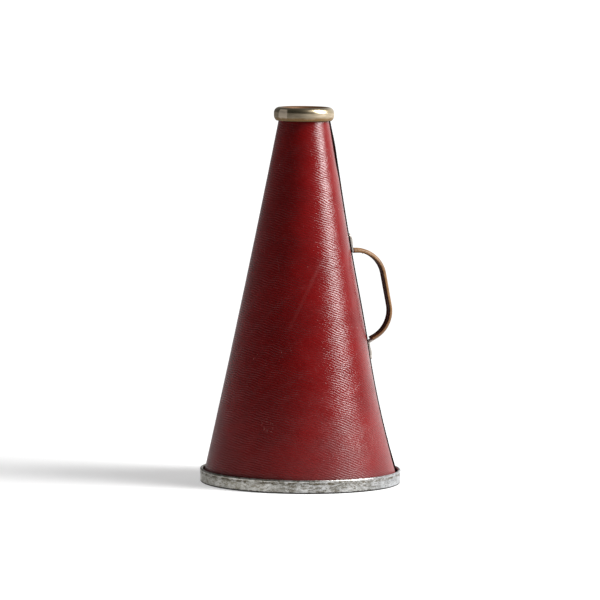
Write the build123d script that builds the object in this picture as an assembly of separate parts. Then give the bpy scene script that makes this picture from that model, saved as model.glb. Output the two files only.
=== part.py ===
from build123d import *
import os
from math import acos, asin, cos, degrees, hypot, pi, radians, sin, sqrt

# A speaking megaphone that stands on its bell. Millimetres, +Z up the horn's axis, origin at the
# centre of the bell rim's bottom face, handle on +X. The horn is one sheet of black fibreboard,
# faced with red leathercloth and rolled into a cone, and its ends lap under the handle.

# Horn wall
board_thickness = 1.0
cloth_thickness = 0.35
wall_thickness = board_thickness + cloth_thickness
lap_gap = 0.08             # air between the flap and the wall under it, where they lie closest
horn_bottom = 1.5          # height of the wall's lower edge, just above the rim's web
horn_top = 343.3           # height of the wall's upper edge, under the mouthpiece bead
radius_at_floor = 93.4     # outer radius of the cone where it would meet the floor
radius_at_top = 24.15      # outer radius at horn_top
waist = 1.15               # how far the cone's side bows in, half way up

# Lap seam, in degrees about the axis: 0 is the handle, and the flap's cut edge is just before it
flap_edge_angle = -11.0
lap_angle = 28.0
step_down_angle = 50.0     # over which the wall comes back in, beyond the lap
flat_centre_angle = -7.0
flat_half_angle = 46.0     # how far each way the seam's flat reaches
# Depth of the flat that the stiff seam leaves in the cone, by height
flat_depths = [(0, 0.0), (6, 0.4), (16, 1.9), (30, 2.6), (60, 4.2), (90, 4.7), (115, 4.3), (140, 3.3),
               (170, 2.8), (200, 2.7), (235, 2.3), (270, 1.5), (300, 0.6), (322, 0.0), (344, 0.6)]
spring_depth = 0.95        # how far the wall has sunk behind the flap's sprung edge
spring_height = 316.0      # height of the widest gap behind the flap
spring_half_height = 32.0
spring_half_angle = 32.0
section_heights = [horn_bottom, 6, 16, 30, 60, 90, 115, 140, 170, 200, 235, 270, 290, 305, 322, 334, horn_top]
section_points = 48        # points round each section of the wall

# Bell rim: a sheet-metal channel with a wired top edge
rim_radius = 95.5
rim_height = 12.8
rim_sheet = 0.7
rim_roll_radius = 1.4
rim_band_inset = 0.3       # how far the band under the rolled edge lies behind it
rim_corner_radius = 1.2
rim_mouth_radius = 90.0
rim_flange_height = 4.0
rim_wire_clearance = 0.05

# Mouthpiece: a spun ring with a hollow bead and a sleeve inside the horn
bead_radius = 28.5
bead_centre_height = 350.8
bead_band_bottom = 348.4   # the bead stands upright from here to its centre
bead_roll = 5.3
bead_foot_radius = 26.3
bead_curl_radius = 23.4
lip_roll = 4.2
throat_radius = bead_radius - bead_roll - lip_roll
throat_bottom = 345.5
throat_bend = 3.0
sleeve_top = 340.8
sleeve_top_radius = 21.5
sleeve_bottom = 332.0
sleeve_bottom_radius = 22.7
spun_sheet = 0.7
mouthpiece_gap = 0.2

# Handle: a flat strap with a foot at each end, in the XZ plane
strap_width = 11.0
strap_thickness = 1.4
heel_radius = 2.2
upper_rivet_height = 229.0
lower_rivet_height = 123.0
foot_beyond_rivet = 6.6
upper_leg_height = 219.4
upper_corner = (74.8, 219.4)
lower_corner = (89.5, 147.1)
upper_bend = 27.5
lower_bend = 27.9
lower_heel_height = 132.2
foot_seating = 0.06        # air under a foot, which rests along one line of the cone
foot_corner = 4.5

# Leather grip round the strap, flat inside and crowned outside
grip_width = 14.0
grip_start = 49.0          # distance from the axis at which the leather starts on the upper leg
grip_inner = [(grip_start, 218.0), (73.6, 218.0), (87.6, 148.2), (67.0, 136.8)]
grip_outer = [(grip_start, 222.4), (76.8, 222.4), (91.3, 146.7), (68.9, 133.6)]
grip_inner_bends = [26.0, 26.4]
grip_outer_bends = [30.2, 29.6]
grip_crown = 1.5
stitch_count = 19
stitch_length = 4.4
stitch_width = 0.8
stitch_height = 0.5
stitch_clearance = 0.02

# Rivets and the burrs they are peened over
head_radius = 5.4
head_height = 2.0
shank_radius = 1.6
tail_radius = 2.7
tail_height = 1.1
burr_radius = 4.6
burr_thickness = 0.8
burr_seating = 0.8         # how far the flat burr stands off, as it bridges the curved wall


def smooth_fall(fraction):
    """1 at 0, 0 at 1 and beyond, with a flat start and end."""
    fraction = min(abs(fraction), 1.0)
    return cos(pi / 2 * fraction) ** 2


def flat_depth(height):
    """Depth of the seam's flat at a height, in straight steps between the listed ones."""
    if height <= flat_depths[0][0]:
        return flat_depths[0][1]
    for (z0, d0), (z1, d1) in zip(flat_depths, flat_depths[1:]):
        if height <= z1:
            return d0 + (d1 - d0) * (height - z0) / (z1 - z0)
    return flat_depths[-1][1]


def cone_radius(height):
    """Outer radius of the single wall, away from the seam."""
    u = height / horn_top
    return radius_at_floor + (radius_at_top - radius_at_floor) * u - 4 * waist * u * (1 - u)


def wall_radius(turn, height):
    """Outer radius of the rolled wall. turn runs from 0 at the flap's edge, once round and on under the flap."""
    from_seam = (turn + flap_edge_angle - flat_centre_angle + 180.0) % 360.0 - 180.0
    radius = cone_radius(height) - flat_depth(height) * smooth_fall(from_seam / flat_half_angle)
    radius += (wall_thickness + lap_gap) * smooth_fall(max(turn - lap_angle, 0.0) / step_down_angle)
    if turn > 180.0:
        sprung = spring_depth * smooth_fall((height - spring_height) / spring_half_height)
        radius -= sprung * smooth_fall((turn - 360.0) / spring_half_angle)
    return radius


def wall_layer(outer_depth, inner_depth):
    """The rolled sheet between two depths under the wall's outer surface."""
    last_turn = 360.0 + lap_angle
    turns = [last_turn * i / section_points for i in range(section_points + 1)]
    sections = []
    for height in section_heights:
        rings = []
        for depth in (outer_depth, inner_depth):
            ring = []
            for turn in turns:
                angle = radians(turn + flap_edge_angle)
                radius = wall_radius(turn, height) - depth
                ring.append((radius * cos(angle), radius * sin(angle), height))
            rings.append(ring)
        outside, inside = rings
        even = [i / section_points for i in range(section_points + 1)]
        sections.append(Face(Wire([
            Edge.make_spline(outside, parameters=even),
            Edge.make_line(outside[-1], inside[-1]),
            Edge.make_spline(inside[::-1], parameters=even),
            Edge.make_line(inside[0], outside[0]),
        ])))
    return loft(sections)


def handle_line(height, beside=0.0):
    """X of the flap's outer face under the handle, at a height and a distance beside the handle's middle."""
    radius = wall_radius(-flap_edge_angle, height)
    angle = asin(beside / radius)
    radius = wall_radius(degrees(angle) - flap_edge_angle, height)
    return sqrt(radius ** 2 - beside ** 2)


def foot_line(low, high):
    """Ends (x, z) of the line on which a straight flat foot rests between two heights."""
    steps = 12
    x_low, x_high = handle_line(low), handle_line(high)
    rise = 0.0
    for i in range(steps + 1):
        share = i / steps
        chord = x_low + (x_high - x_low) * share
        for beside in (-strap_width / 2, 0.0, strap_width / 2):
            rise = max(rise, handle_line(low + (high - low) * share, beside) - chord)
    rise += foot_seating
    return (x_low + rise, low), (x_high + rise, high)


upper_foot_line = foot_line(upper_leg_height, upper_rivet_height + foot_beyond_rivet)
lower_foot_line = foot_line(lower_rivet_height - foot_beyond_rivet, lower_heel_height)


def rivet_plane(line, height):
    """Plane on a foot's inner face at a rivet, with its Z axis along the rivet and out of the horn."""
    (x0, z0), (x1, z1) = line
    share = (height - z0) / (z1 - z0)
    length = hypot(x1 - x0, z1 - z0)
    outward = ((z1 - z0) / length, 0, (x0 - x1) / length)
    return Plane(origin=(x0 + (x1 - x0) * share, 0, height), x_dir=(0, 1, 0), z_dir=outward)


rivet_planes = {
    "upper": rivet_plane(upper_foot_line, upper_rivet_height),
    "lower": rivet_plane(lower_foot_line, lower_rivet_height),
}
# Along a rivet, from the foot's inner face: through both layers of wall, then the burr
burr_face = -(foot_seating + 2 * wall_thickness + burr_seating)
tail_face = burr_face - burr_thickness


def drill(shape):
    """The shape with both rivets' holes through it."""
    hole_length = 4 * (2 * wall_thickness + strap_thickness)
    for plane in rivet_planes.values():
        shape -= plane * Pos(0, 0, tail_face / 2) * Cylinder(shank_radius, hole_length)
    return shape


def spun(outline, thickness, side):
    """Sheet metal spun about the axis: the outline is its outer face, in (radius, height)."""
    upright = Plane.XZ * make_face(outline.offset_2d(thickness, side=side))
    return revolve(upright, Axis.Z)


def bell_rim():
    """A U channel that holds the horn's lower edge, its outer band rolled inward round a wire."""
    roll_centre = (rim_radius - rim_roll_radius, rim_height - rim_roll_radius)
    band_radius = rim_radius - rim_band_inset
    corner = rim_corner_radius
    # the roll goes on under its widest point until it meets the band
    roll_start = 240.0
    roll_end = -degrees(acos((band_radius - roll_centre[0]) / rim_roll_radius))
    roll = CenterArc(roll_centre, rim_roll_radius, roll_start, roll_end - roll_start)
    outline = Wire([
        roll,
        Line(roll @ 1, (band_radius, corner)),
        CenterArc((band_radius - corner, corner), corner, 0, -90),
        Line((band_radius - corner, 0), (rim_mouth_radius + corner, 0)),
        CenterArc((rim_mouth_radius + corner, corner), corner, 270, -90),
        Line((rim_mouth_radius, corner), (rim_mouth_radius, rim_flange_height)),
    ])
    return spun(outline, rim_sheet, Side.RIGHT)


def rim_edge_wire():
    """The wire inside the rim's rolled edge."""
    radius = rim_roll_radius - rim_sheet - rim_wire_clearance
    return Pos(0, 0, rim_height - rim_roll_radius) * Torus(rim_radius - rim_roll_radius, radius)


def mouthpiece_ring():
    """Bead, throat and sleeve in one spinning, from the curl on the horn's edge to the sleeve's end."""
    foot = horn_top + mouthpiece_gap
    bead_centre = (bead_radius - bead_roll, bead_centre_height)
    lip_centre = (bead_centre[0], bead_centre_height + bead_roll - lip_roll)
    # the bead's flank is an arc that meets its upright band
    run, rise = bead_radius - bead_foot_radius, bead_band_bottom - foot
    flank_radius = (run ** 2 + rise ** 2) / (2 * run)
    flank_angle = -asin(rise / flank_radius)
    flank_middle = (
        bead_radius - flank_radius + flank_radius * cos(flank_angle / 2),
        bead_band_bottom + flank_radius * sin(flank_angle / 2),
    )
    sleeve = FilletPolyline(
        (throat_radius, lip_centre[1]),
        (throat_radius, throat_bottom),
        (sleeve_top_radius, sleeve_top),
        (sleeve_bottom_radius, sleeve_bottom),
        radius=[throat_bend, throat_bend],
    )
    outline = Wire([
        Line((bead_curl_radius, foot), (bead_foot_radius, foot)),
        ThreePointArc((bead_foot_radius, foot), flank_middle, (bead_radius, bead_band_bottom)),
        Line((bead_radius, bead_band_bottom), (bead_radius, bead_centre_height)),
        CenterArc(bead_centre, bead_roll, 0, 90),
        CenterArc(lip_centre, lip_roll, 90, 90),
        *sleeve.edges(),
    ])
    return spun(outline, spun_sheet, Side.LEFT)


def handle_strap():
    """The flat strap: a foot up the horn, a leg out, the bar, a leg back and a foot down."""
    half = strap_thickness / 2
    (upper_heel_x, _), (upper_end_x, upper_end_z) = upper_foot_line
    (lower_end_x, lower_end_z), (lower_heel_x, _) = lower_foot_line
    corners = [
        (upper_end_x + half, upper_end_z),
        (upper_heel_x + half, upper_leg_height),
        upper_corner,
        lower_corner,
        (lower_heel_x + half, lower_heel_height),
        (lower_end_x + half, lower_end_z),
    ]
    middle = FilletPolyline(*corners, radius=[heel_radius, upper_bend, lower_bend, heel_radius])
    band = make_face(Wire(middle.edges()).offset_2d(half, side=Side.BOTH))
    strap = extrude(Plane.XZ * band, strap_width / 2, both=True)
    # seen along the rivets the strap's two ends are rounded
    low, high = lower_end_z - half, upper_end_z + half
    front = Plane(origin=(0, 0, (low + high) / 2), x_dir=(0, 1, 0), z_dir=(1, 0, 0))
    rounded = extrude(front * RectangleRounded(strap_width, high - low, foot_corner), 2 * rim_radius)
    return strap & rounded


def grip_body():
    """The leather's outer shape, filled: flat inside, crowned outside, thinner towards the lower end."""
    inner = FilletPolyline(*grip_inner, radius=grip_inner_bends)
    outer = FilletPolyline(*grip_outer, radius=grip_outer_bends)
    ends = [Line(grip_inner[0], grip_outer[0]), Line(grip_inner[-1], grip_outer[-1])]
    outline = Wire(list(inner.edges()) + list(outer.edges()) + ends)
    solid = extrude(Plane.XZ * make_face(outline), grip_width / 2, both=True)
    # the edges that lie along the outer line, on both sides
    outer_edge = Plane.XZ * outer
    middle = [edge @ 0.5 for edge in outer_edge.edges()]
    near = 0.01
    crowned = []
    for edge in solid.edges():
        point = edge @ 0.5
        on_side = abs(abs(point.Y) - grip_width / 2) < near
        if on_side and any(hypot(point.X - target.X, point.Z - target.Z) < near for target in middle):
            crowned.append(edge)
    return fillet(crowned, grip_crown)


def grip_stitching():
    """A row of stitches across the leather's butt seam, along the middle of the inside face."""
    seam = FilletPolyline(*grip_inner, radius=grip_inner_bends)
    stitches = []
    for i in range(stitch_count):
        share = (i + 0.5) / stitch_count
        point = seam @ share
        along = seam % share
        # inwards, towards the horn: a quarter turn from the seam's direction
        inward = Vector(along.Y, 0, -along.X)
        if inward.X > 0:
            inward = inward * -1
        origin = Vector(point.X, 0, point.Y) + inward * stitch_clearance
        plane = Plane(origin=origin, x_dir=(0, 1, 0), z_dir=inward)
        bar = extrude(SlotOverall(stitch_length, stitch_width), stitch_height)
        stitches.append(plane * bar)
    return Compound(stitches)


def rivet(plane):
    """Domed head on the foot, a shank through foot, lap and burr, and a peened tail."""
    top = strap_thickness
    profile = Wire([
        Line((0, tail_face - tail_height), (0, top + head_height)),
        ThreePointArc((0, top + head_height), *dome_points(top, head_radius, head_height, 1)),
        Line((head_radius, top), (shank_radius, top)),
        Line((shank_radius, top), (shank_radius, tail_face)),
        Line((shank_radius, tail_face), (tail_radius, tail_face)),
        ThreePointArc((0, tail_face - tail_height), *dome_points(tail_face, tail_radius, tail_height, -1)),
    ])
    return plane * revolve(Plane.XZ * make_face(profile), Axis.Z)


def dome_points(base, radius, height, way):
    """A point half way down a dome's side, and the point at its rim, in (radius, height)."""
    sphere = (radius ** 2 + height ** 2) / (2 * height)
    half_angle = asin(radius / sphere) / 2
    rise = height - sphere + sphere * cos(half_angle)
    return (sphere * sin(half_angle), base + way * rise), (radius, base)


def burr(plane):
    """The washer inside the horn that the rivet's tail is peened over."""
    disc = Cylinder(burr_radius, burr_thickness) - Cylinder(shank_radius, 2 * burr_thickness)
    return plane * Pos(0, 0, burr_face - burr_thickness / 2) * disc


strap = drill(handle_strap())
nodes = {
    "horn_core": drill(wall_layer(cloth_thickness, wall_thickness)),
    "horn_covering": drill(wall_layer(0.0, cloth_thickness)),
    "bell_rim": bell_rim(),
    "rim_edge_wire": rim_edge_wire(),
    "mouthpiece_ring": mouthpiece_ring(),
    "handle_strap": strap,
    "handle_grip": grip_body() - strap,
    "grip_stitching": grip_stitching(),
    "upper_rivet": rivet(rivet_planes["upper"]),
    "lower_rivet": rivet(rivet_planes["lower"]),
    "upper_burr": burr(rivet_planes["upper"]),
    "lower_burr": burr(rivet_planes["lower"]),
}
os.makedirs("parts", exist_ok=True)
for name, shape in nodes.items():
    export_step(shape, f"parts/{name}.step")
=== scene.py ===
from math import asin, cos, pi, radians, sin, sqrt, tan

import bmesh
import bpy
import numpy as np
from mathutils import Matrix, Vector


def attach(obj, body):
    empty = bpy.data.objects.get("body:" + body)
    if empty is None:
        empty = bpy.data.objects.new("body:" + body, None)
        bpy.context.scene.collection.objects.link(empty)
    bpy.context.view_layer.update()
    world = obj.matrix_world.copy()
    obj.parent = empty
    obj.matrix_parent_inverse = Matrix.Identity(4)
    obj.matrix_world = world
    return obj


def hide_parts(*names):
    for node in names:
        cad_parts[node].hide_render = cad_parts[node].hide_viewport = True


# Looks for a rolled fibreboard speaking megaphone. Lengths are in millimetres until a mesh is
# made, and turns are degrees about the horn's axis, from the flap's cut edge.
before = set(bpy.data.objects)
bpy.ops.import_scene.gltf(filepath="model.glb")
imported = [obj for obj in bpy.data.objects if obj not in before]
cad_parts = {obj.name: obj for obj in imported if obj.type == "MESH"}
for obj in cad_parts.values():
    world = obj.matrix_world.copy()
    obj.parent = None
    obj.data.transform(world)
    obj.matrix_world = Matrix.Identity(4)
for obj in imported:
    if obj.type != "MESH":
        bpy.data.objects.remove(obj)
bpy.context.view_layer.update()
MM = 0.001


# ---------------------------------------------------------------- the rolled sheet, as in the CAD

board_thickness = 1.0
cloth_thickness = 0.35
wall_thickness = board_thickness + cloth_thickness
lap_gap = 0.08
horn_bottom = 1.5
horn_top = 343.3
radius_at_floor = 93.4
radius_at_top = 24.15
waist = 1.15                 # how far the cone is drawn in at half its height
flap_edge_angle = -11.0      # the flap's cut edge, turned from +x towards +y
lap_angle = 28.0             # how far the flap reaches over the layer below it
last_turn = 360.0 + lap_angle
step_down_angle = 50.0       # beyond the lap, the outer layer comes down on to the cone over this turn
flat_centre_angle = -7.0     # the long flat beside the seam
flat_half_angle = 46.0
# how deep that flat is at each height
flat_depths = [(0, 0.0), (6, 0.4), (16, 1.9), (30, 2.6), (60, 4.2), (90, 4.7), (115, 4.3), (140, 3.3),
               (170, 2.8), (200, 2.7), (235, 2.3), (270, 1.5), (300, 0.6), (322, 0.0), (344, 0.6)]
# near the top the layer under the flap is drawn in, so that the flap stands off it
spring_depth = 0.95
spring_height = 316.0
spring_half_height = 32.0
spring_half_angle = 32.0
# where the wall's rings are worked out, with a smooth curve between them
section_heights = [horn_bottom, 6, 16, 30, 60, 90, 115, 140, 170, 200, 235, 270, 290, 305, 322, 334,
                   horn_top]

# The cloth's embossed ribs run straight across the flat sheet, so they bend round the cone
rib_pitch = 2.2
rib_depth = 0.24
rib_fade = 3.0               # the ribs fade out this far from the sheet's two ends
rows_per_rib = 4
sheet_columns = 150
inner_rows = 12
merge_distance = 1e-6        # metres


def smooth_fall(fraction):
    """1 at 0, 0 at 1 and beyond, with a flat start and end."""
    return np.cos(pi / 2 * np.minimum(np.abs(fraction), 1.0)) ** 2


def curve_through(xs, ys, x):
    """A smooth curve through points, whose slopes come from their neighbours. ys may have columns."""
    xs, ys, x = np.asarray(xs, float), np.asarray(ys, float), np.asarray(x, float)
    slopes = np.gradient(ys, xs, axis=0)
    at = np.clip(np.searchsorted(xs, x) - 1, 0, len(xs) - 2)
    step = xs[at + 1] - xs[at]
    t = (x - xs[at]) / step
    if ys.ndim > 1:
        t, step = t[:, None], step[:, None]
    low, high = ys[at], ys[at + 1]
    return (low * (1 + 2 * t) * (1 - t) ** 2 + slopes[at] * step * t * (1 - t) ** 2
            + high * t * t * (3 - 2 * t) - slopes[at + 1] * step * t * t * (1 - t))


def wall_radius(turn, height):
    """Outer radius of the rolled wall, from the flap's cut edge (turn 0) once round and under the flap."""
    u = height / horn_top
    radius = radius_at_floor + (radius_at_top - radius_at_floor) * u - 4 * waist * u * (1 - u)
    from_seam = (turn + flap_edge_angle - flat_centre_angle + 180.0) % 360.0 - 180.0
    depth = np.interp(height, *zip(*flat_depths))
    radius = radius - depth * smooth_fall(from_seam / flat_half_angle)
    lifted = smooth_fall(np.maximum(turn - lap_angle, 0.0) / step_down_angle)
    radius = radius + (wall_thickness + lap_gap) * lifted
    sprung = spring_depth * smooth_fall((height - spring_height) / spring_half_height)
    return radius - np.where(turn > 180.0, sprung * smooth_fall((turn - 360.0) / spring_half_angle), 0.0)


def point_at(turn, radius, height):
    """Points in metres, in the shared frame."""
    angle = np.radians(turn + flap_edge_angle)
    return np.stack([radius * np.cos(angle), radius * np.sin(angle), height], axis=-1) * MM


# ---------------------------------------------------------------- meshes

def new_mesh(name, points, faces, materials, uvs=None, values=None):
    """A smooth-shaded object from points in metres. uvs are per point, values name one number per point."""
    mesh = bpy.data.meshes.new(name)
    mesh.from_pydata([tuple(p) for p in points], [], faces)
    for material in materials:
        mesh.materials.append(material)
    if uvs is not None:
        layer = mesh.uv_layers.new(name="sheet")
        corners = np.zeros(len(mesh.loops), np.int32)
        mesh.loops.foreach_get("vertex_index", corners)
        layer.data.foreach_set("uv", np.asarray(uvs, np.float32)[corners].ravel())
    for key, numbers in (values or {}).items():
        stored = mesh.attributes.new(key, "FLOAT", "POINT")
        stored.data.foreach_set("value", np.asarray(numbers, np.float32))
    mesh.polygons.foreach_set("use_smooth", [True] * len(mesh.polygons))
    mesh.validate()
    piece = bpy.data.objects.new(name, mesh)
    bpy.context.scene.collection.objects.link(piece)
    return piece


def grid_faces(rows, columns, first=0, flip=False):
    """Quads of a grid of points stored row by row."""
    faces = []
    for i in range(rows - 1):
        for j in range(columns - 1):
            a = first + i * columns + j
            quad = (a, a + 1, a + columns + 1, a + columns)
            faces.append(quad[::-1] if flip else quad)
    return faces


# ---------------------------------------------------------------- materials

# Ranges from where a look starts to where it is full: heights, unless a comment says otherwise
rubbed_bell = (150.0, 40.0)
dusty_foot = (34.0, 18.0)
# painted contact shade along the rim's foot, where it stands on the floor
rim_contact_shade = (1.15, 0.35)
# painted shade in the groove under the rim's rolled edge
rim_groove_top = (10.9, 10.2)
rim_groove_bottom = (7.4, 9.4)
rim_bluer_side = (25.0, 85.0)      # along x, towards the handle
rim_browner_side = (-10.0, -80.0)    # along x, away from it
mouthpiece_foot = (349.2, 346.8)
mouthpiece_dark_edge = (344.3, 343.6)
throat_lining = (22.8, 21.6)         # distance from the axis
redder_grip = (165.0, 140.0)

band_top = 351.2                     # where the mouthpiece's dull band meets the bright roll
pale_patch_way = (-0.861, -0.509, 0.0)      # unit vector from the axis to the pale patch on the roll, a painted reflection of a light on the left
pale_patch_climb = 3.4
# Marks on the front of the horn: each place is so far to the right of the axis, and so high
front_right = (0.970, -0.242, 0.0)
front_way = (-0.242, -0.970, 0.0)
front_depth = (0.0, 8.0)             # how far in front of the axis the marks start and are full
long_scuff_top = (18.0, 214.0)
long_scuff_foot = (-12.0, 150.0)
long_scuff_half_width = 3.0
chipped_place = (-30.0, 62.0)
chipped_reach = 9.0
scratched_place = (58.0, 48.0)
scratched_reach = 20.0
scuff_slant = radians(-62)


class Graph:
    """A material's nodes. Each method adds what it needs and returns the output that it leads to."""

    def __init__(self, name):
        self.material = bpy.data.materials.new(name)
        self.material.use_nodes = True
        self.tree = self.material.node_tree
        self.tree.nodes.clear()

    def node(self, kind, settings=None, output=0, **inputs):
        """Adds one node and returns one output. An input is named by its label, or by i and its number."""
        made = self.tree.nodes.new("ShaderNode" + kind)
        for key, value in (settings or {}).items():
            setattr(made, key, value)
        for key, value in inputs.items():
            numbered = key[0] == "i" and key[1:].isdigit()
            socket = made.inputs[int(key[1:]) if numbered else key.replace("_", " ")]
            if isinstance(value, bpy.types.NodeSocket):
                self.tree.links.new(value, socket)
            else:
                socket.default_value = value
        return made.outputs[output] if made.outputs else None

    def scaled(self, vector, scale):
        """A vector times a scale for each axis."""
        return self.node("VectorMath", {"operation": "MULTIPLY"}, i0=vector, i1=scale)

    def place_mm(self):
        """Coordinates in the shared frame in millimetres, as every object's origin is the frame's."""
        return self.scaled(self.node("TexCoord", output=3), (1000, 1000, 1000))

    def sheet_mm(self):
        """Coordinates on the flat sheet of cloth, in millimetres."""
        return self.scaled(self.node("UVMap", {"uv_map": "sheet"}), (1000, 1000, 1000))

    def component(self, vector, axis):
        return self.node("SeparateXYZ", output=axis, Vector=vector)

    def dot(self, vector, way):
        return self.node("VectorMath", {"operation": "DOT_PRODUCT"}, output=1, i0=vector, i1=way)

    def length(self, vector):
        return self.node("VectorMath", {"operation": "LENGTH"}, output=1, i0=vector)

    def attribute(self, name):
        """A number that the mesh stores per point."""
        return self.node("Attribute", {"attribute_name": name}, output=2)

    def noise(self, vector, scale, detail=3.0, roughness=0.5, distortion=0.0):
        """Cloudy noise from 0 to 1, with about scale clouds per millimetre."""
        return self.node("TexNoise", Vector=vector, Scale=scale, Detail=detail, Roughness=roughness,
                         Distortion=distortion)

    def cells(self, vector, scale):
        """Distance to the nearest of scattered points, in spacings of about 1 / scale millimetres."""
        return self.node("TexVoronoi", Vector=vector, Scale=scale)

    def maths(self, operation, a, b=0.5, c=0.0):
        return self.node("Math", {"operation": operation}, i0=a, i1=b, i2=c)

    def plus(self, a, b):
        return self.maths("ADD", a, b)

    def minus(self, a, b):
        return self.maths("SUBTRACT", a, b)

    def times(self, a, b):
        return self.maths("MULTIPLY", a, b)

    def times_plus(self, a, factor, b):
        return self.maths("MULTIPLY_ADD", a, factor, b)

    def most(self, first, *others):
        """The greatest of some numbers."""
        for other in others:
            first = self.maths("MAXIMUM", first, other)
        return first

    def between(self, value, low, high, to_low=0.0, to_high=1.0):
        """value's range from low to high, clamped and eased, onto another range."""
        return self.node("MapRange", {"interpolation_type": "SMOOTHSTEP"}, Value=value,
                         From_Min=low, From_Max=high, To_Min=to_low, To_Max=to_high)

    def mix(self, factor, first, second):
        """A colour from the first at 0 to the second at 1."""
        colours = [c if isinstance(c, bpy.types.NodeSocket) else (*c, 1.0) for c in (first, second)]
        return self.node("Mix", {"data_type": "RGBA"}, output=2, i0=factor, i6=colours[0], i7=colours[1])

    def marked(self, colour, amount, share, mark):
        """colour under a mark of another colour, of which a share shows where amount is 1."""
        return self.mix(self.times(amount, share), colour, mark)

    def bump(self, height, depth, normal=None):
        """Bump whose height socket is 0 to 1 over a depth in millimetres."""
        inputs = {"Height": height, "Distance": depth * MM, "Strength": 1.0}
        if normal is not None:
            inputs["Normal"] = normal
        return self.node("Bump", **inputs)

    def reach(self, along, height, place):
        """Distance on the front between a point and a place."""
        across = self.minus(along, place[0])
        up = self.minus(height, place[1])
        return self.maths("SQRT", self.times_plus(across, across, self.times(up, up)))

    def finish(self, **inputs):
        shader = self.node("BsdfPrincipled", **inputs)
        self.node("OutputMaterial", Surface=shader)
        return self.material


def flecks(g, sheet):
    """Spots where the coating has chipped to the pale cloth, in loose clusters."""
    spots = g.between(g.cells(sheet, 0.16), 0.085, 0.05)
    return g.times(spots, g.between(g.noise(sheet, 0.017, 1.0), 0.56, 0.6))


def fine_scuffs(g, slanting, patches):
    """Fine slanting strokes, in patches."""
    strokes = g.noise(g.scaled(slanting, (0.03, 0.9, 1.0)), 1.0, 2.0, 0.5)
    return g.times(g.between(strokes, 0.62, 0.72), g.between(patches, 0.45, 0.7))


def long_scuff(g, along, height, patches):
    """One long soft scuff down the front, strongest on its middle line and fading at both ends."""
    top_right, top = long_scuff_top
    foot_right, foot = long_scuff_foot
    lean = (top_right - foot_right) / (top - foot)
    middle = g.times_plus(height, lean, foot_right - lean * foot)
    aside = g.maths("ABSOLUTE", g.minus(along, middle))
    aside = g.times_plus(g.minus(patches, 0.5), 5.0, aside)
    ends = g.times(g.between(height, foot - 6, foot + 10), g.between(height, top + 6, top - 10))
    return g.times(g.between(aside, long_scuff_half_width, 0.0), ends)


def chips(g, sheet, along, height):
    """A patch of small chips low on the front."""
    near = g.between(g.reach(along, height, chipped_place), chipped_reach, chipped_reach / 2)
    return g.times(g.between(g.cells(sheet, 0.42), 0.30, 0.20), near)


def scratches(g, slanting, along, height):
    """A few thin scratches towards the bell."""
    near = g.between(g.reach(along, height, scratched_place), scratched_reach, scratched_reach / 2)
    lines = g.noise(g.scaled(slanting, (0.02, 0.55, 1.0)), 1.0, 1.0, 0.4, 0.4)
    return g.times(g.between(g.maths("ABSOLUTE", g.minus(lines, 0.5)), 0.012, 0.003), near)


def leathercloth():
    """Red coated cloth: duller towards the bell, and duller and darker in its ribs' valleys, the darkness
    painted shade, with marks of wear.
    """
    g = Graph("red_leathercloth")
    place = g.place_mm()
    height = g.component(place, 2)
    along = g.dot(place, front_right)
    in_front = g.between(g.dot(place, front_way), *front_depth)
    sheet = g.sheet_mm()
    slanting = g.node("VectorRotate", {"rotation_type": "Z_AXIS"}, Vector=sheet, Angle=scuff_slant)
    valley = g.attribute("valley")
    cloud = g.noise(sheet, 0.02, 3.0, 0.55)
    patches = g.noise(sheet, 0.11, 4.0, 0.6)

    scuffed = fine_scuffs(g, slanting, patches)
    dragged = g.times(long_scuff(g, along, height, patches), in_front)
    chipped = g.times(chips(g, sheet, along, height), in_front)
    scratched = g.times(scratches(g, slanting, along, height), in_front)
    rubbed = g.between(g.times_plus(cloud, 50.0, height), *rubbed_bell)
    dust = g.between(g.times_plus(patches, 26.0, height), *dusty_foot)

    red = g.mix(g.between(cloud, 0.35, 0.65), (0.145, 0.0030, 0.0033), (0.180, 0.0042, 0.0045))
    # painted shade: the ribs' valleys are drawn darker red
    red = g.marked(red, valley, 0.35, (0.088, 0.0018, 0.0022))
    red = g.marked(red, flecks(g, sheet), 0.7, (0.42, 0.24, 0.22))
    red = g.marked(red, scuffed, 0.10, (0.32, 0.15, 0.14))
    red = g.marked(red, dragged, 0.035, (0.34, 0.13, 0.12))
    red = g.marked(red, chipped, 0.5, (0.40, 0.17, 0.15))
    red = g.marked(red, scratched, 0.45, (0.45, 0.22, 0.20))
    red = g.marked(red, dust, 0.13, (0.30, 0.16, 0.15))

    rough = g.times_plus(patches, 0.14, 0.13)
    rough = g.times_plus(rubbed, 0.17, rough)
    rough = g.times_plus(g.most(scuffed, g.times(dragged, 0.35)), 0.20, rough)
    rough = g.times_plus(valley, 0.08, rough)

    threads = g.noise(g.scaled(sheet, (0.22, 1.0, 1.0)), 1.1, 3.0, 0.6, 0.6)
    relief = g.bump(threads, 0.17)
    relief = g.bump(g.noise(sheet, 1.9, 2.0, 0.6), 0.05, relief)
    relief = g.bump(g.noise(sheet, 0.045, 2.0, 0.5), 0.28, relief)
    return g.finish(Base_Color=red, Roughness=rough, Normal=relief, IOR=1.5)


def cut_edge():
    """The cloth's raw edge, inked black with the board's."""
    g = Graph("inked_edge")
    fibres = g.noise(g.scaled(g.place_mm(), (1.0, 1.0, 0.3)), 1.6, 4.0, 0.7)
    colour = g.mix(g.between(fibres, 0.4, 0.8), (0.005, 0.0035, 0.003), (0.022, 0.011, 0.009))
    return g.finish(Base_Color=colour, Roughness=0.9, Specular_IOR_Level=0.03, Normal=g.bump(fibres, 0.1))


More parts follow.
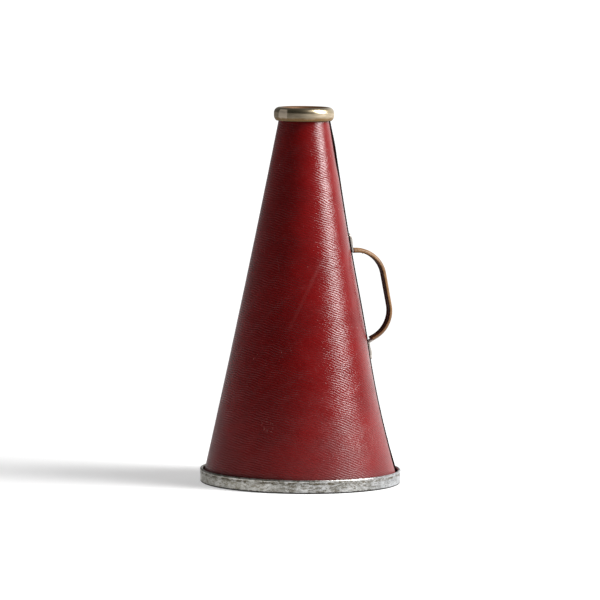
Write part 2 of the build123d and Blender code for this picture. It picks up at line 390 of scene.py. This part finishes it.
def fibreboard():
    """Black fibreboard, with matted fibres and a little brown where it is rubbed."""
    g = Graph("black_fibreboard")
    place = g.place_mm()
    fibres = g.noise(g.scaled(place, (1.0, 1.0, 0.35)), 0.9, 5.0, 0.7, 1.0)
    rubbed = g.between(g.noise(place, 0.05, 3.0), 0.5, 0.8)
    colour = g.mix(g.between(fibres, 0.35, 0.75), (0.006, 0.005, 0.0045), (0.018, 0.014, 0.012))
    colour = g.marked(colour, rubbed, 0.5, (0.060, 0.036, 0.024))
    rough = g.times_plus(fibres, 0.2, 0.65)
    relief = g.bump(fibres, 0.12)
    return g.finish(Base_Color=colour, Roughness=rough, Normal=relief, Specular_IOR_Level=0.05)


def tarnished(name, clean, dull, stain, rough_low, rough_high):
    """Old plated sheet metal: cloudy plate with dark pits and stains, and small dents."""
    g = Graph(name)
    place = g.place_mm()
    clouds = g.noise(place, 0.10, 5.0, 0.62, 0.4)
    grain = g.noise(place, 0.75, 4.0, 0.7)
    blotches = g.between(g.noise(place, 0.17, 4.0, 0.7, 0.3), 0.53, 0.68)
    blotches = g.times(blotches, g.between(grain, 0.40, 0.60))
    pits = g.between(g.cells(g.scaled(place, (1.0, 1.0, 1.6)), 0.5), 0.16, 0.06)
    stained = g.most(g.times(blotches, 0.9), g.times(pits, 0.405))
    colour = g.mix(g.between(clouds, 0.35, 0.68), clean, dull)
    colour = g.mix(stained, colour, stain)
    rough = g.between(clouds, 0.3, 0.7, rough_low, rough_high)
    rough = g.times_plus(stained, 0.25, rough)
    relief = g.bump(g.noise(place, 0.06, 2.0, 0.5), 0.35)
    relief = g.bump(grain, 0.04, relief)
    return g, colour, rough, relief, stained


def rim_metal():
    """The rim's plate: streaked, with painted shade in the groove under its rolled edge, and black painted
    contact shade where it stands.
    """
    g, colour, rough, relief, stained = tarnished(
        "aged_rim_plate", (0.58, 0.585, 0.58), (0.25, 0.245, 0.225), (0.050, 0.040, 0.024), 0.28, 0.44)
    place = g.place_mm()
    along = g.component(place, 0)
    height = g.component(place, 2)
    flat = g.scaled(place, (0.5, 0.5, 1.6))
    streaks = g.noise(flat, 0.30, 5.0, 0.68, 0.6)
    chipped = g.between(g.noise(flat, 0.85, 4.0, 0.7), 0.54, 0.62)
    # painted shade: a dark band in the groove under the rolled edge, broken by the streaks
    groove_shade = g.times(g.between(height, *rim_groove_top), g.between(height, *rim_groove_bottom))
    groove_shade = g.times(groove_shade, g.between(streaks, 0.40, 0.58, 0.10, 0.90))
    # painted contact shade: the foot is drawn near black where the rim stands on the floor
    foot = g.between(g.times_plus(streaks, -1.4, height), *rim_contact_shade)
    colour = g.marked(colour, g.between(streaks, 0.48, 0.56), 0.80, (0.120, 0.105, 0.075))
    colour = g.marked(colour, chipped, 0.7, (0.72, 0.72, 0.69))
    # the plate is bluer on the handle's side, and browner on the other
    colour = g.marked(colour, g.between(along, *rim_bluer_side), 0.45, (0.40, 0.43, 0.47))
    colour = g.marked(colour, g.between(along, *rim_browner_side), 0.30, (0.42, 0.39, 0.30))
    colour = g.mix(groove_shade, colour, (0.085, 0.068, 0.040))
    colour = g.mix(foot, colour, (0.018, 0.016, 0.013))
    # stains, and the painted shade in the groove and at the foot, make the plate less metallic and rougher
    soiled_and_shaded = g.most(foot, groove_shade, stained)
    metal = g.times_plus(soiled_and_shaded, -0.5, 0.90)
    rough = g.times_plus(soiled_and_shaded, 0.2, rough)
    return g.finish(Base_Color=colour, Metallic=metal, Roughness=rough, Normal=relief)


def strap_metal():
    """Warm nickel plate, for the strap, the rivets and the burrs."""
    g, colour, rough, relief, stained = tarnished(
        "old_nickel_plate", (0.72, 0.68, 0.63), (0.52, 0.46, 0.39), (0.12, 0.062, 0.030), 0.25, 0.40)
    metal = g.times_plus(stained, -0.5, 0.85)
    return g.finish(Base_Color=colour, Metallic=metal, Roughness=rough, Normal=relief)


def worn_nickel_brass():
    """Spun brass: bright nickel on the bead's roll, dull beige on its band, brown at its foot and inside."""
    g = Graph("worn_nickel_on_brass")
    place = g.place_mm()
    height = g.component(place, 2)
    level = g.scaled(place, (1.0, 1.0, 0.0))
    wander = g.noise(place, 0.16, 4.0, 0.6, 0.5)
    grain = g.noise(place, 1.1, 4.0, 0.7)
    turned = g.noise(g.scaled(place, (0.12, 0.12, 2.2)), 0.8, 3.0, 0.6)
    pits = g.between(g.cells(place, 0.55), 0.13, 0.05)

    # the band, and one patch where the dull band climbs on to the roll; the patch's pale colour is a painted
    # reflection of a light on the left
    patch = g.dot(g.node("VectorMath", {"operation": "NORMALIZE"}, i0=level), pale_patch_way)
    climb = g.times(g.between(g.times_plus(grain, 0.012, patch), 0.982, 0.992), pale_patch_climb)
    edge = g.plus(g.times_plus(wander, 0.8, band_top - 0.4), climb)
    banded = g.between(g.minus(edge, height), -0.25, 0.25)
    lined = g.between(g.length(level), *throat_lining)
    foot = g.between(g.times_plus(wander, 3.0, height), *mouthpiece_foot)
    dark_edge = g.between(height, *mouthpiece_dark_edge)

    nickel = g.mix(g.between(grain, 0.3, 0.7), (0.47, 0.395, 0.27), (0.37, 0.295, 0.185))
    beige = g.mix(g.between(turned, 0.35, 0.65), (0.28, 0.225, 0.150), (0.42, 0.345, 0.245))
    # painted reflection: the patch is near white, as a light on the left shows on the roll
    beige = g.marked(beige, g.between(climb, 0.5, 2.5), 0.8, (0.82, 0.69, 0.54))
    brown = g.mix(g.between(grain, 0.35, 0.65), (0.27, 0.160, 0.050), (0.145, 0.080, 0.026))
    lining = g.mix(g.between(grain, 0.35, 0.65), (0.155, 0.070, 0.024), (0.10, 0.044, 0.015))
    colour = g.mix(banded, nickel, beige)
    colour = g.mix(foot, colour, brown)
    colour = g.mix(lined, colour, lining)
    colour = g.marked(colour, pits, 0.5, (0.07, 0.04, 0.02))
    # darker at the lowest edge, where the mouthpiece meets the horn
    colour = g.marked(colour, dark_edge, 0.7, (0.030, 0.014, 0.008))

    dull = g.most(banded, lined, foot)
    rough = g.times_plus(grain, 0.12, g.times_plus(dull, 0.20, 0.28))
    metal = g.times_plus(dull, -0.55, 1.0)
    relief = g.bump(g.noise(place, 0.10, 2.0), 0.25)
    relief = g.bump(grain, 0.03, relief)
    return g.finish(Base_Color=colour, Metallic=metal, Roughness=rough, Normal=relief)


def grip_leather():
    """Brown strap leather, rubbed pale on its back and edges, with painted shade making it near black
    inside, where it faces the horn.
    """
    g = Graph("worn_brown_leather")
    place = g.place_mm()
    height = g.component(place, 2)
    clouds = g.noise(place, 0.14, 4.0, 0.6)
    pores = g.cells(place, 1.5)
    wrinkles = g.noise(place, 0.7, 5.0, 0.65, 0.8)
    shown = g.times_plus(g.minus(wrinkles, 0.5), 0.25, g.attribute("crown"))
    rubbed = g.between(shown, 0.03, 0.17)
    pale = g.mix(g.between(clouds, 0.35, 0.65), (0.138, 0.065, 0.021), (0.205, 0.104, 0.037))
    pale = g.marked(pale, g.between(height, *redder_grip), 0.5, (0.125, 0.047, 0.015))
    # painted shade: the inside face, turned to the horn and away from the light, is drawn near black
    dark = g.mix(g.between(wrinkles, 0.4, 0.7), (0.030, 0.0075, 0.0018), (0.070, 0.022, 0.008))
    colour = g.mix(rubbed, dark, pale)
    colour = g.marked(colour, g.between(pores, 0.25, 0.05), 0.35, (0.09, 0.040, 0.018))
    rough = g.times_plus(wrinkles, 0.25, 0.30)
    gloss = g.times_plus(rubbed, 0.40, 0.01)
    relief = g.bump(wrinkles, 0.16)
    relief = g.bump(g.between(pores, 0.0, 0.4), 0.06, relief)
    return g.finish(Base_Color=colour, Roughness=rough, Normal=relief, IOR=1.5, Specular_IOR_Level=gloss)


def waxed_thread():
    """Brown thread with a diagonal twist."""
    g = Graph("waxed_thread")
    diagonal = {"bands_direction": "DIAGONAL"}
    twist = g.node("TexWave", diagonal, Vector=g.place_mm(), Scale=1.6, Distortion=1.0)
    colour = g.mix(twist, (0.045, 0.024, 0.012), (0.115, 0.066, 0.034))
    return g.finish(Base_Color=colour, Roughness=0.6, Normal=g.bump(twist, 0.1))


# ---------------------------------------------------------------- the covering

def rib_wander(across, down):
    """How far a rib strays from straight: two waves along it that change from rib to rib."""
    return (0.42 * np.sin(across / 4.3 + 1.7 * np.sin(down / 23.0) + down / 7.0)
            + 0.30 * np.sin(across / 2.6 + down / 3.1 + 2.0 * np.sin(across / 31.0)))


def rib_strength(across, down):
    """The share of its full depth that a rib has, from a half to one."""
    return 0.75 + 0.25 * np.sin(across / 9.0 + down / 5.0) * np.sin(across / 17.0 - down / 11.0)


def ribbed_face(turns, rings):
    """The outer face's rows of points, with each point's place on the flat sheet and depth in a valley."""
    flare = radius_at_floor - radius_at_top
    half_cone = asin(flare / sqrt(flare ** 2 + horn_top ** 2))
    apex = radius_at_floor / tan(half_cone)
    # each column's bearing on the flat sheet, from the line opposite the seam
    bearing = np.radians(turns - last_turn / 2) * sin(half_cone)
    nearest = (apex - horn_top) / cos(half_cone) * cos(bearing[0])
    farthest = (apex - horn_bottom) / cos(half_cone)
    rows = int((farthest - nearest) / rib_pitch * rows_per_rib) + 1
    step = rib_pitch / rows_per_rib
    points, uvs, valleys = [], [], []
    for i in range(rows + 1):
        down = nearest + i * step
        across = down * np.tan(bearing)
        # distance from the cone's apex, down its side
        slant = (down + rib_wander(across, down)) / np.cos(bearing)
        height = np.clip(apex - slant * cos(half_cone), horn_bottom, horn_top)
        radius = np.array([curve_through(section_heights, rings[:, j], [height[j]])[0]
                           for j in range(len(turns))])
        from_end = np.minimum(horn_top - height, height - horn_bottom)
        faded = smooth_fall(1.0 - np.minimum(from_end / rib_fade, 1.0))
        valley = (0.5 - 0.5 * cos(2 * pi * i / rows_per_rib)) * faded * rib_strength(across, down)
        points.append(point_at(turns, radius - rib_depth * valley, height))
        uvs.append(np.stack([across, np.full_like(across, down)], axis=-1) * MM)
        valleys.append(valley)
    return np.array(points), np.array(uvs), np.array(valleys)


def covering_piece():
    """The red cloth: outer face with its ribs, inner face on the board, and the four cut edges."""
    turns = np.linspace(0.0, last_turn, sheet_columns + 1)
    rings = np.stack([wall_radius(turns, z) for z in section_heights])
    points, uvs, valleys = ribbed_face(turns, rings)
    rows, columns = points.shape[:2]
    inner = []
    for z in np.linspace(horn_top, horn_bottom, inner_rows):
        radius = curve_through(section_heights, rings, [z])[0] - cloth_thickness
        inner.append(point_at(turns, radius, np.full(columns, z)))
    inner_count = inner_rows * columns
    faces = grid_faces(rows, columns, flip=True) + grid_faces(inner_rows, columns, rows * columns)
    piece = new_mesh("red_covering", np.concatenate([points.reshape(-1, 3), np.reshape(inner, (-1, 3))]),
                     faces, [leathercloth(), cut_edge()],
                     uvs=np.concatenate([uvs.reshape(-1, 2), np.zeros((inner_count, 2))]),
                     values={"valley": np.concatenate([valleys.ravel(), np.zeros(inner_count)])})
    close_sheet(piece, rows, columns)
    return piece


def close_sheet(piece, rows, columns):
    """Joins the outer and inner faces round the sheet's four edges, then drops the squeezed-out rows."""
    edges = bmesh.new()
    edges.from_mesh(piece.data)
    edges.verts.ensure_lookup_table()
    first = rows * columns
    last = inner_rows - 1
    made = []
    # the top and bottom edges
    for row, inner_row in ((0, 0), (rows - 1, last)):
        for j in range(columns - 1):
            a = row * columns + j
            d = first + inner_row * columns + j
            made.append(edges.faces.new([edges.verts[k] for k in (a, a + 1, d + 1, d)]))
    # the two side edges, where the outer face has more rows than the inner one
    for column in (0, columns - 1):
        outer = [edges.verts[i * columns + column] for i in range(rows)]
        inner = [edges.verts[first + i * columns + column] for i in range(inner_rows)]
        at = 0
        for k in range(last):
            start = at
            while at < rows - 1 and (outer[at].co.z > inner[k + 1].co.z or k == last - 1):
                at += 1
            made.append(edges.faces.new(outer[start:at + 1] + [inner[k + 1], inner[k]]))
    for face in made:
        face.material_index = 1
        face.smooth = False
    bmesh.ops.remove_doubles(edges, verts=edges.verts, dist=merge_distance)
    bmesh.ops.dissolve_degenerate(edges, edges=edges.edges, dist=merge_distance)
    bmesh.ops.recalc_face_normals(edges, faces=edges.faces)
    edges.to_mesh(piece.data)
    edges.free()


# ---------------------------------------------------------------- the grip

grip_width = 14.0
grip_start = 49.0
# corners of the leather's inside and outside lines, to the right of the axis and up, and their bends
grip_inner = [(grip_start, 218.0), (73.6, 218.0), (87.6, 148.2), (67.0, 136.8)]
grip_outer = [(grip_start, 222.4), (76.8, 222.4), (91.3, 146.7), (68.9, 133.6)]
grip_inner_bends = (26.0, 26.4)
grip_outer_bends = (30.2, 29.6)
grip_path_points = 24                # in each straight run and each bend
grip_crown_points = 22
grip_crown_power = 3.2               # how square the crowned back is
grip_edge_rise = 0.08                # the back's height at its edges, as a share of the thickness
grip_edge_tuck = 0.25                # how far the edges are drawn in
grip_end_turn = 0.22                 # how far the ends are turned in, as a share of the thickness
grip_end_narrowing = 0.03            # the share of that turn by which the ends are narrower too
grip_end_points = 3.0                # over how many of the path's points
grip_sideways_wobble = 0.15
grip_outward_wobble = 0.02           # as a share of the thickness
# across the inside face: a share of the half width, and of the thickness. The butt seam dips.
grip_inside = [(0.93, 0.02), (0.6, 0.0), (0.09, 0.0), (0.0, 0.14), (-0.09, 0.0), (-0.6, 0.0), (-0.93, 0.02)]

stitch_count = 19
stitch_length = 4.4
stitch_width = 0.8
stitch_half_thickness = 0.21
stitch_arch = 0.252                  # how far a stitch's middle stands above its ends
stitch_lift = 0.05
stitch_lean = 0.18
stitch_taper_power = 2.6
stitch_blunt_end = 0.02
stitch_rings = 9
stitch_sides = 8


def rounded_path(corners, bends):
    """Points along a line of straight runs with round corners, evenly spaced in each run and bend."""
    count = grip_path_points
    corners = [Vector(c) for c in corners]
    pieces = [[corners[0]]]
    for before, corner, after, bend in zip(corners, corners[1:], corners[2:], bends):
        back, ahead = (before - corner).normalized(), (after - corner).normalized()
        half = back.angle(ahead) / 2
        centre = corner + (back + ahead).normalized() * bend / sin(half)
        start = corner + back * bend / tan(half)
        end = corner + ahead * bend / tan(half)
        pieces[-1].append(start)
        sweep = (start - centre).angle_signed(end - centre)
        arc = [centre + Matrix.Rotation(-sweep * k / count, 2) @ (start - centre) for k in range(count + 1)]
        pieces.append(arc)
        pieces.append([end])
    pieces[-1].append(corners[-1])
    path = []
    for piece in pieces:
        if len(piece) == 2:
            piece = [piece[0].lerp(piece[1], k / count) for k in range(count + 1)]
        path.extend(piece if not path else piece[1:])
    return np.array([tuple(p) for p in path])


def tube_faces(rings, sides, first=0):
    """Faces of a closed tube whose points are stored ring by ring."""
    faces = []
    for r in range(rings - 1):
        for q in range(sides):
            a, b = first + r * sides + q, first + r * sides + (q + 1) % sides
            faces.append((a, b, b + sides, a + sides))
    faces.append(tuple(first + q for q in range(sides))[::-1])
    faces.append(tuple(first + (rings - 1) * sides + q for q in range(sides)))
    return faces


def face_outwards(piece):
    """Turns every face of a closed mesh to look outwards."""
    mesh = bmesh.new()
    mesh.from_mesh(piece.data)
    bmesh.ops.recalc_face_normals(mesh, faces=mesh.faces)
    mesh.to_mesh(piece.data)
    mesh.free()


def grip_wobble(station):
    """Handling has left the leather a little uneven along its length."""
    return 0.18 * sin(station / 5.3) * sin(station / 13.0 + 1.0) + 0.10 * sin(station / 2.1)


def grip_piece():
    """The leather, flat inside with a sewn butt seam, and crowned outside. Its inside line comes with it."""
    inner = rounded_path(grip_inner, grip_inner_bends)
    outer = rounded_path(grip_outer, grip_outer_bends)
    half = grip_width / 2
    stations = len(inner)
    points, crowns = [], []
    for i, (low, high) in enumerate(zip(inner, outer)):
        from_end = min(i, stations - 1 - i)
        turned = 1.0 - grip_end_turn * max(0.0, 1.0 - from_end / grip_end_points) ** 2
        narrowed = 1.0 - grip_end_narrowing * (1.0 - turned)
        wobble = grip_wobble(i)
        for s in np.linspace(-1.0, 1.0, grip_crown_points):
            crown = (1.0 - abs(s) ** grip_crown_power) ** 0.5
            rise = (grip_edge_rise + (1.0 - grip_edge_rise) * crown) * turned
            reach = half + grip_sideways_wobble * wobble - grip_edge_tuck * (1.0 - crown)
            place = low + (high - low) * (rise + grip_outward_wobble * wobble)
            points.append((place[0], s * reach * narrowed, place[1]))
            crowns.append(rise)
        for side, depth in grip_inside:
            place = low + (high - low) * depth
            points.append((place[0], side * half, place[1]))
            crowns.append(0.0)
    faces = tube_faces(stations, grip_crown_points + len(grip_inside))
    piece = new_mesh("leather_grip", np.array(points) * MM, faces, [grip_leather()],
                     values={"crown": crowns})
    face_outwards(piece)
    return piece, inner


def stitch_points(here, along):
    """One plump stitch across the seam at here, where along points down the seam."""
    inward = np.array([along[1], -along[0]])
    if inward[0] > 0:
        inward = -inward
    points = []
    for s in np.linspace(-1.0, 1.0, stitch_rings):
        girth = sqrt(max(1.0 - abs(s) ** stitch_taper_power, stitch_blunt_end))
        arch = stitch_arch * (1.0 - s * s) + stitch_lift
        for q in range(stitch_sides):
            angle = 2 * pi * q / stitch_sides
            out = arch + stitch_half_thickness * girth * sin(angle)
            side = stitch_width / 2 * girth * cos(angle) + stitch_lean * s
            spot = here + inward * out + along * side
            points.append((spot[0], s * stitch_length / 2, spot[1]))
    return points


def stitches_piece(seam):
    """Short plump stitches across the butt seam on the grip's inside face."""
    last = len(seam) - 1
    points, faces = [], []
    for n in range(stitch_count):
        at = (n + 0.5) / stitch_count * last
        k = int(at)
        here = seam[k] + (seam[min(k + 1, last)] - seam[k]) * (at - k)
        along = seam[min(k + 2, last)] - seam[max(k - 2, 0)]
        faces += tube_faces(stitch_rings, stitch_sides, len(points))
        points += stitch_points(here, along / np.hypot(*along))
    piece = new_mesh("grip_stitches", np.array(points) * MM, faces, [waxed_thread()])
    face_outwards(piece)
    return piece


# ---------------------------------------------------------------- build

def dress(node, material):
    """Gives a CAD node's object one material."""
    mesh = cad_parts[node].data
    mesh.materials.clear()
    mesh.materials.append(material)


plate = strap_metal()
rim_plate = rim_metal()
dress("horn_core", fibreboard())
dress("bell_rim", rim_plate)
dress("rim_edge_wire", rim_plate)
dress("mouthpiece_ring", worn_nickel_brass())
for node in ("handle_strap", "upper_rivet", "lower_rivet", "upper_burr", "lower_burr"):
    dress(node, plate)

cloth = covering_piece()
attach(cloth, "root")
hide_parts("horn_covering")

grip, seam_line = grip_piece()
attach(grip, "root")
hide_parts("handle_grip")

stitches = stitches_piece(seam_line)
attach(stitches, "root")
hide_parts("grip_stitching")


# ---------------------------------------------------------------- stage, lights and camera

# Lengths here are in metres, except for the lens's
view_azimuth = radians(-14.0)      # where the camera stands, turned from -y towards +x
camera_distance = 4.507            # along the floor, from the horn's axis
camera_height = 0.5756
target_right = -0.0020             # the point that the camera looks at
target_height = 0.17311
camera_roll = radians(0.583)
sensor_width = 36.0
focal_length = 286.39
camera_reach = 50.0
toward_camera = Vector((sin(view_azimuth), -cos(view_azimuth), 0.0))
floor_solid = 0.35           # distances from the horn's axis at which the floor starts to fade, and is gone
floor_gone = 0.80
floor_glow = 0.42            # lifts the shadow, as a lit table does
light_aim_height = 0.17
backdrop_light = 1.1
dark_side = 0.02             # the surroundings' light on the camera's side, and behind the horn
grey_side = 0.18
screen_bearing = 145.0       # a bright screen, in degrees to the right of the camera
screen_half_width = 33.0
screen_blur = 8.0
screen_light = 0.95
far_floor = 0.45             # light from the floor beyond its modelled edge


def white_floor():
    """A white sweep that fades out into the white backdrop."""
    g = Graph("studio_floor")
    place = g.place_mm()
    colour = g.mix(g.noise(place, 0.3, 2.0), (0.59, 0.59, 0.59), (0.61, 0.61, 0.61))
    paint = g.node("BsdfPrincipled", Base_Color=colour, Roughness=0.9, Specular_IOR_Level=0.1,
                   Emission_Color=(1.0, 1.0, 1.0, 1.0), Emission_Strength=floor_glow)
    gone = g.between(g.length(place), floor_solid / MM, floor_gone / MM)
    clear = g.node("BsdfTransparent")
    g.node("OutputMaterial", Surface=g.node("MixShader", i0=gone, i1=paint, i2=clear))
    return g.material


def add_floor():
    """The square of floor that takes the shadow."""
    size = floor_gone
    corners = [(-size, -size, 0), (size, -size, 0), (size, size, 0), (-size, size, 0)]
    floor = new_mesh("floor", np.array(corners), [(0, 1, 2, 3)], [white_floor()])


def add_softbox(name, bearing, elevation, distance, width, height, power):
    """An area light aimed at the horn's middle, its bearing in degrees to the right of the camera's."""
    aim = Vector((0, 0, light_aim_height))
    turn = view_azimuth + radians(bearing)
    rise = radians(elevation)
    way = Vector((sin(turn) * cos(rise), -cos(turn) * cos(rise), sin(rise)))
    lamp = bpy.data.lights.new(name, "AREA")
    lamp.shape = "RECTANGLE"
    lamp.size, lamp.size_y = width, height
    lamp.energy = power
    light = bpy.data.objects.new(name, lamp)
    light.location = aim + way * distance
    light.rotation_euler = way.to_track_quat("Z", "Y").to_euler()
    bpy.context.scene.collection.objects.link(light)
    return light


def add_world():
    """White for the camera. The object sees dark on the camera's side, grey behind, and a bright screen."""
    world = bpy.data.worlds.new("studio")
    world.use_nodes = True
    tree = world.node_tree
    tree.nodes.clear()

    def node(kind, settings, *inputs):
        made = tree.nodes.new("ShaderNode" + kind)
        for key, value in settings.items():
            setattr(made, key, value)
        for socket, value in zip(made.inputs, inputs):
            if isinstance(value, bpy.types.NodeSocket):
                tree.links.new(value, socket)
            else:
                socket.default_value = value
        return made.outputs

    place = node("TexCoord", {})["Generated"]
    bearing = view_azimuth + radians(screen_bearing)
    towards_screen = (sin(bearing), -cos(bearing), 0.0)
    behind = node("VectorMath", {"operation": "DOT_PRODUCT"}, place, -toward_camera)["Value"]
    behind = node("MapRange", {}, behind, -1.0, 1.0, 0.0, 1.0)[0]
    grey = node("Math", {"operation": "POWER"}, behind, 2.0)[0]
    grey = node("MapRange", {}, grey, 0.0, 1.0, dark_side, grey_side)[0]
    screen = node("VectorMath", {"operation": "DOT_PRODUCT"}, place, towards_screen)["Value"]
    edge = cos(radians(screen_half_width + screen_blur))
    full = cos(radians(screen_half_width - screen_blur))
    eased = {"interpolation_type": "SMOOTHSTEP"}
    screen = node("MapRange", eased, screen, edge, full, 0.0, screen_light)[0]
    light = node("Math", {"operation": "ADD"}, grey, screen)[0]
    # beyond the floor's edge the surroundings go on as a dim floor
    up = node("SeparateXYZ", {}, place)[2]
    below = node("MapRange", {}, up, 0.02, -0.05, 0.0, far_floor)[0]
    light = node("Math", {"operation": "MAXIMUM"}, light, below)[0]
    seen = node("LightPath", {})["Is Camera Ray"]
    backdrop = node("Math", {"operation": "MULTIPLY"}, seen, backdrop_light)[0]
    light = node("Math", {"operation": "MAXIMUM"}, light, backdrop)[0]
    surface = node("Background", {}, (1.0, 1.0, 1.0, 1.0), light)[0]
    node("OutputWorld", {}, surface)
    bpy.context.scene.world = world


def add_camera():
    """A long lens that looks slightly down on the horn, a little rolled, as in the photograph."""
    right = Vector((cos(view_azimuth), sin(view_azimuth), 0.0))
    place = toward_camera * camera_distance + Vector((0, 0, camera_height))
    ahead = (right * target_right + Vector((0, 0, target_height)) - place).normalized()
    level = ahead.cross(Vector((0, 0, 1))).normalized()
    up = level.cross(ahead)
    across = level * cos(camera_roll) + up * sin(camera_roll)
    up = up * cos(camera_roll) - level * sin(camera_roll)
    lens = bpy.data.cameras.new("camera")
    lens.sensor_width = sensor_width
    lens.lens = focal_length
    lens.clip_end = camera_reach
    camera = bpy.data.objects.new("camera", lens)
    camera.matrix_world = Matrix.Translation(place) @ Matrix((across, up, -ahead)).transposed().to_4x4()
    bpy.context.scene.collection.objects.link(camera)
    bpy.context.scene.camera = camera


add_floor()
add_world()
add_softbox("key", bearing=77, elevation=40, distance=1.3, width=0.46, height=1.2, power=40)
fill = add_softbox("fill", bearing=-115, elevation=64, distance=1.3, width=0.8, height=0.8, power=3.6)
fill.visible_glossy = False     # so that it draws no streak on the bright mouthpiece
add_camera()
bpy.context.scene.view_settings.view_transform = "Standard"
